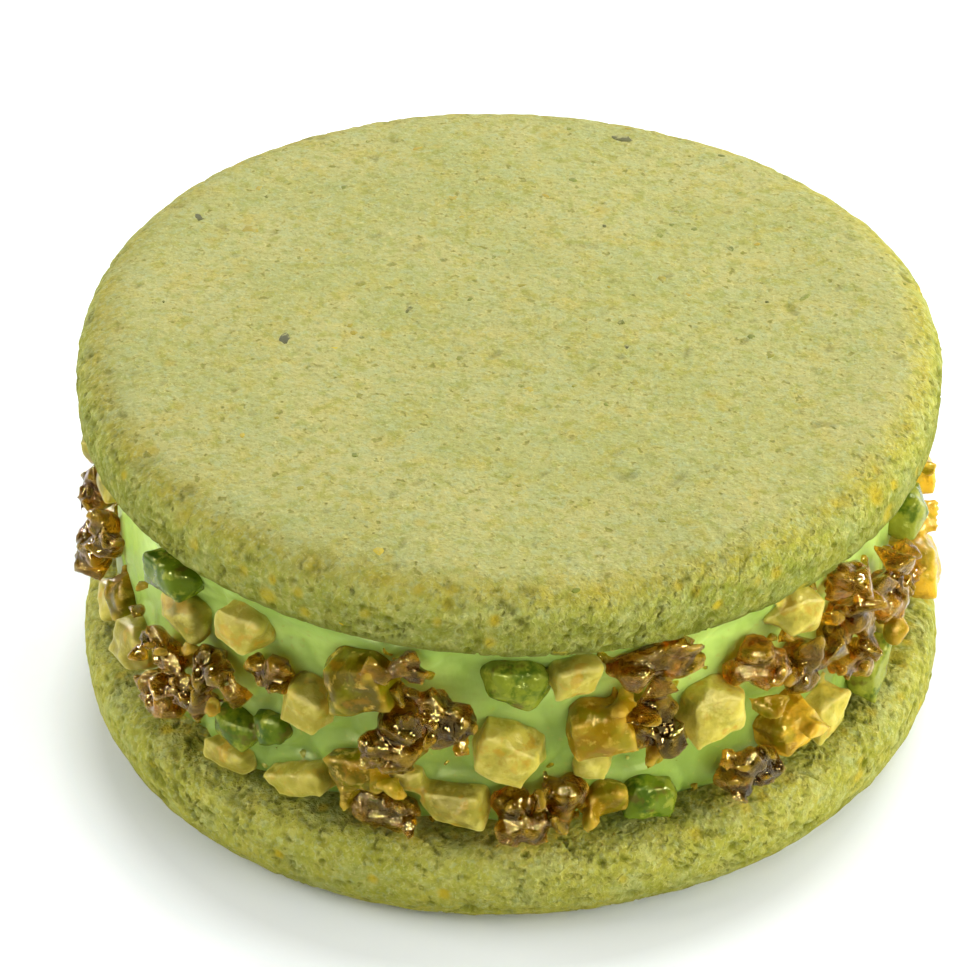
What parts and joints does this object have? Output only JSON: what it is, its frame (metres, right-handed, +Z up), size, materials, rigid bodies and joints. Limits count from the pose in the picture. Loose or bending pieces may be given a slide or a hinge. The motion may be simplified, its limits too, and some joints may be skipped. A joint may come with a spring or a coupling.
{
  "type": "pistachio alfajor",
  "caption": "Round sandwich biscuit: a domed lid and a thick base round a tall layer of green cream, its side rolled in chopped nuts and caramel brittle.",
  "frame": {"origin": "on the surface that the biscuit lies on, under the middle of the whole", "axes": "+Z up through the biscuit's axis; -Y is the side that faces the viewer, +X to the viewer's right"},
  "size_m": [0.0716, 0.0716, 0.0342],
  "materials": {
    "biscuit": "dry baked crumb",
    "cream": "satin butter cream",
    "nut": "chopped nut, satin",
    "brittle": "glossy caramel brittle",
    "honeyed_nut": "sugar-glazed nut",
    "pistachio": "chopped green kernel"
  },
  "bodies": {
    "root": {"top_biscuit": "biscuit", "bottom_biscuit": "biscuit", "filling": "cream"}
  },
  "joints": []
}
